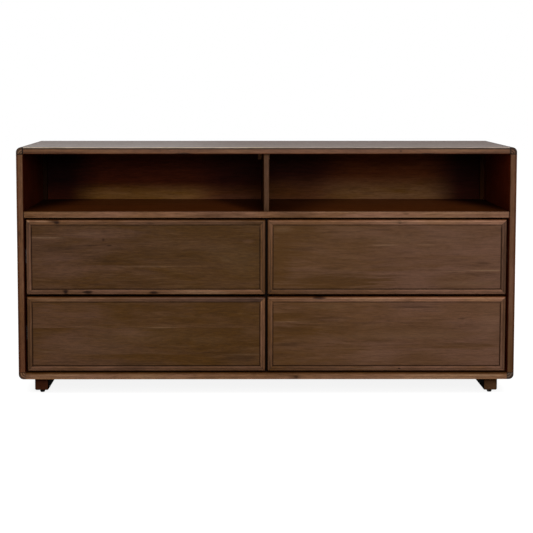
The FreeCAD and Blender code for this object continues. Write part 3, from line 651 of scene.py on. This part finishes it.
def dress_sides(corner):
    """The side panels, with the given stain at the case's corners."""
    # Seed; rosy; front edge; inner face, redder and with painted light, most on the right; how dark
    # its inner edge gets; foot.
    sides = {
        "left": (6, 0.7, (1.55, 1.45, 1.3, 1), (2.3, 0.6, 0.2, 1), 0.0, (0.75, 0.62, 0.5, 1)),
        "right": (7, 0.6, (1.3, 1.25, 1.25, 1), (4.2, 1.1, 0.3, 1), 0.4, (0.85, 0.88, 0.8, 1)),
    }
    for side, (seed, rosy, edge, inner_face, inner_edge, foot) in sides.items():
        wood("side_panel_" + side, "Z", "X", seed, plank=BOARD, rosy=(rosy, rosy), edge=edge,
             shades=[corner, side_front_darkening(inner_edge, foot),
                     past("X", INNER_X + 1 * MM, INNER_X, inner_face, mirror=True)])


def dress_posts():
    """The corner posts, which show their end grain at the front."""
    # Side; level of the inner corner; gain; how dark the joints are; front end.
    posts = {
        "top_left": (-1, CEILING, 1.2, 0.06, (1.0, 1.15, 1.25, 1)),
        "top_right": (1, CEILING, 0.85, 0.3, WHITE),
        "bottom_left": (-1, FLOOR_TOP, 1.6, 0.85, (0.95, 1.0, 0.98, 1)),
        "bottom_right": (1, FLOOR_TOP, 1.5, 0.7, (0.58, 0.81, 1.09, 1)),
    }
    for index, (post, (side, level, gain, depth, edge)) in enumerate(posts.items()):
        wood("corner_post_" + post, "Y", "X", POST_SEED + index, gain=gain, rosy=(0.8, 0.8), edge=edge,
             shades=[end_grain(side, level, depth)])


def dress_feet():
    """The runners: painted shade makes their inner faces nearly black and their tops dark, painted
    light makes them paler low down, and the left one is redder.
    """
    inner_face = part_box("foot_runner_right")[0].x
    for side, seed, gain in (("left", 15, 0.29), ("right", 16, 0.43)):
        wood("foot_runner_" + side, "Y", "X", seed, gain=gain, rosy=(0.6, 0.6), roughness=0.8,
             gloss=0.03,
             shades=[past("X", inner_face + 3 * MM, inner_face + 1 * MM, KNOT_AND_SHADE, mirror=True),
                     left_only((1.0, 0.6, 0.5, 1)),
                     past("Z", 42 * MM, 24 * MM, (1.6, 1.6, 1.4, 1)),
                     past("Z", 37 * MM, 44 * MM, (0.8, 0.5, 0.2, 1))])


def dress_drawers():
    """The fronts of the drawers, each with its own tones, and their boxes."""
    # Panel: rosy and level, partly tone and partly painted light, rosier and brighter on the right
    # and brighter in the lower row; contrast; a seam; where olive sets in, from and to x, and its
    # blue.
    # Moulding: rosy; the levels of its top, bottom, left and right length, partly painted sheen.
    tones = {
        "upper_left": ((0.35, 0.05), 1.0, 0.2, 0.421, (-0.50, -0.28, 0.80), (0.75, 0.20),
                       ((2.10, 1.28), (1.30, 2.05), (1.62, 1.12), (1.35, 1.45))),
        "upper_right": ((0.30, 1.0), 1.26, 0.11, 0.400, (0.42, 0.25, 0.88), (0.50, 1.0),
                        ((2.15, 2.65), (1.34, 1.72), (1.12, 1.90), (0.88, 0.95))),
        "lower_left": ((0.35, 0.00), 1.16, 0.18, 0.1295, (-0.60, -0.35, 0.88), (0.55, 0.85),
                       ((1.90, 0.74), (1.42, 1.24), (0.92, 1.24), (1.34, 2.10))),
        "lower_right": ((0.30, 1.0), 1.30, 0.11, 0.149, (0.45, 0.25, 0.93), (0.45, 0.85),
                        ((2.00, 2.85), (1.20, 1.55), (1.05, 1.92), (1.18, 1.28))),
    }
    for index, name in enumerate(DRAWERS):
        rosy, level, contrast, seam, (plain_x, olive_x, blue), moulding_rosy, levels = tones[name]
        panel, moulding = name + "_front_panel", name + "_front_moulding"
        wood(panel, "X", "Y", PANEL_SEED + index, plank=FRONT_BOARD, glue=seam, rosy=rosy,
             gain=level, contrast=contrast,
             shades=[quirk_painted_shade(panel), past("X", plain_x, olive_x, (1.0, 1.0, blue, 1))])
        wood(moulding, "X", "Y", MOULDING_SEED + index, rosy=moulding_rosy, mitred=True,
             shades=[moulding_tone_and_light(moulding, *levels)])
        dress_box(name, index)


def dress_box(name, index):
    """Give a drawer's box its paler wood."""
    parts = ("front", "side_left", "side_right", "back")
    step = len(parts) + 1
    for offset, part in enumerate(parts):
        grain, face = ("Y", "X") if "side" in part else ("X", "Y")
        seed = BOX_SEED + step * index + offset
        wood(f"{name}_box_{part}", grain, face, seed, gain=2.6, roughness=0.6)
    wood(name + "_box_bottom", "X", "Z", BOX_BOTTOM_SEED + index, gain=3.0, roughness=0.6)


def dress_hardware():
    """Rails, inserts and screws in metal, and the levelers in black nylon."""
    zinc = plain("zinc", (0.56, 0.57, 0.58, 1), 0.34, metallic=1.0)
    black_steel = plain("black_steel", (0.03, 0.03, 0.03, 1), 0.4, metallic=0.6)
    nylon = plain("black_nylon", (0.006, 0.006, 0.006, 1), 0.6, gloss=0.15)
    for name in DRAWERS:
        dress(name + "_inner_rails", zinc)
        dress(name + "_middle_rails", zinc)
    for node in ("slide_outer_rails", "leveler_inserts", "runner_screws"):
        dress(node, zinc)
    dress("back_screws", black_steel)
    for node in frame["nodes"]:
        if node.startswith("leveler_") and node != "leveler_inserts":
            dress(node, nylon)


# ---------------------------------------------------------------- studio

def mirrored(t, ray):
    """1 for what a mirror or glass shows, 0 otherwise."""
    return t.math("MAXIMUM", ray["Is Glossy Ray"], ray["Is Transmission Ray"])


def floor():
    """A wide pale floor, white to the camera but for a faint shadow under the case, partly cast and
    partly painted by a lower glow there.
    """
    half = 12.0
    mesh = bpy.data.meshes.new("floor")
    mesh.from_pydata([(-half, -half, 0), (half, -half, 0), (half, half, 0), (-half, half, 0)],
                     [], [(0, 1, 2, 3)])
    ground = bpy.data.objects.new("floor", mesh)
    bpy.context.scene.collection.objects.link(ground)
    material = bpy.data.materials.new("floor_paint")
    material.use_nodes = True
    material.node_tree.nodes.clear()
    t = Tree(material.node_tree)
    ray = t.node("LightPath").outputs
    mirror = mirrored(t, ray)
    x, y, _ = t.parts(t.node("TexCoord").outputs["Object"])
    under_x, under_y = 0.755, 0.175            # half the patch under the case where the glow is lowered: a painted shadow
    beside = t.math("MAXIMUM", t.math("SUBTRACT", t.math("ABSOLUTE", x), under_x), 0.0)
    before = t.math("MAXIMUM", t.math("SUBTRACT", t.math("ABSOLUTE", y), under_y), 0.0)
    away = t.vector("LENGTH", t.joined(beside, before))
    seen_level = t.spread(away, 0.0, 0.06, 0.885, 1.0)
    mirror_level = t.spread(y, 0.3, 2.0, 0.12, 0.9)
    strength = t.math("MAXIMUM", t.product(ray["Is Camera Ray"], seen_level),
                      t.product(mirror, mirror_level))
    matt = t.node("BsdfDiffuse", {"Color": (0.7, 0.7, 0.7, 1)})
    faint = t.node("BsdfDiffuse", {"Color": (0.15, 0.15, 0.15, 1)})
    glow = t.node("Emission", {"Color": WHITE, "Strength": strength})
    bright = t.node("AddShader", {0: faint.outputs[0], 1: glow.outputs[0]})
    seen = t.math("MAXIMUM", ray["Is Camera Ray"], mirror)
    both = t.node("MixShader", {0: seen, 1: matt.outputs[0], 2: bright.outputs[0]})
    t.put(t.node("OutputMaterial").inputs["Surface"], both.outputs[0])
    mesh.materials.append(material)


def world():
    """White where the camera looks and behind the object, dimmer where the lamps stand."""
    made = bpy.data.worlds.new("studio")
    made.use_nodes = True
    made.node_tree.nodes.clear()
    t = Tree(made.node_tree)
    ray = t.node("LightPath").outputs
    mirror = mirrored(t, ray)
    depth = t.parts(t.node("TexCoord").outputs["Generated"])[1]
    behind = t.spread(depth, -0.3, 0.4, 0.15, 1.0)
    seen = t.math("MAXIMUM", ray["Is Camera Ray"], t.product(mirror, behind))
    other = t.math("SUBTRACT", 1.0, t.math("MAXIMUM", ray["Is Camera Ray"], mirror))
    fill = t.product(other, 0.12)
    background = t.node("Background", {"Color": WHITE, "Strength": t.math("ADD", seen, fill)})
    t.put(t.node("OutputWorld").inputs["Surface"], background.outputs[0])
    bpy.context.scene.world = made


def lamp(name, place, target, size, power, in_mirrors=True):
    """A rectangular area lamp that looks at the target, unseen by the camera."""
    data = bpy.data.lights.new(name, "AREA")
    data.shape = "RECTANGLE"
    data.size, data.size_y = size
    data.energy = power
    made = bpy.data.objects.new(name, data)
    made.location = place
    aim = Vector(target) - Vector(place)
    made.rotation_euler = aim.to_track_quat("-Z", "Y").to_euler()
    made.visible_camera = False
    made.visible_glossy = in_mirrors
    bpy.context.scene.collection.objects.link(made)


def studio():
    floor()
    world()
    middle = (0.0, 0.0, 0.45)
    lamp("front_softbox", (0.5, -5.0, 2.3), middle, (3.0, 2.2), 158)
    lamp("left_softbox", (-4.0, 2.2, 1.9), middle, (1.6, 1.2), 60, in_mirrors=False)
    lamp("right_softbox", (4.0, 2.2, 1.9), middle, (1.6, 1.2), 60, in_mirrors=False)
    lamp("rear_softbox", (0.0, 4.6, 2.0), middle, (2.4, 1.0), 60, in_mirrors=False)


def camera():
    """A long lens from the front, a little above the top."""
    data = bpy.data.cameras.new("camera")
    data.lens = 85.92
    data.sensor_width = 36.0
    data.shift_x, data.shift_y = 0.05, -0.17
    data.clip_start, data.clip_end = 0.05, 100.0
    made = bpy.data.objects.new("camera", data)
    made.location = (-0.0974, -4.2764, 1.0084)
    yaw, pitch = 0.00293, 0.07386
    made.rotation_euler = (math.radians(90) - pitch, 0.0, -yaw)
    bpy.context.scene.collection.objects.link(made)
    bpy.context.scene.camera = made


dress_case()
dress_drawers()
dress_hardware()
studio()
camera()
bpy.context.scene.view_settings.view_transform = "Standard"
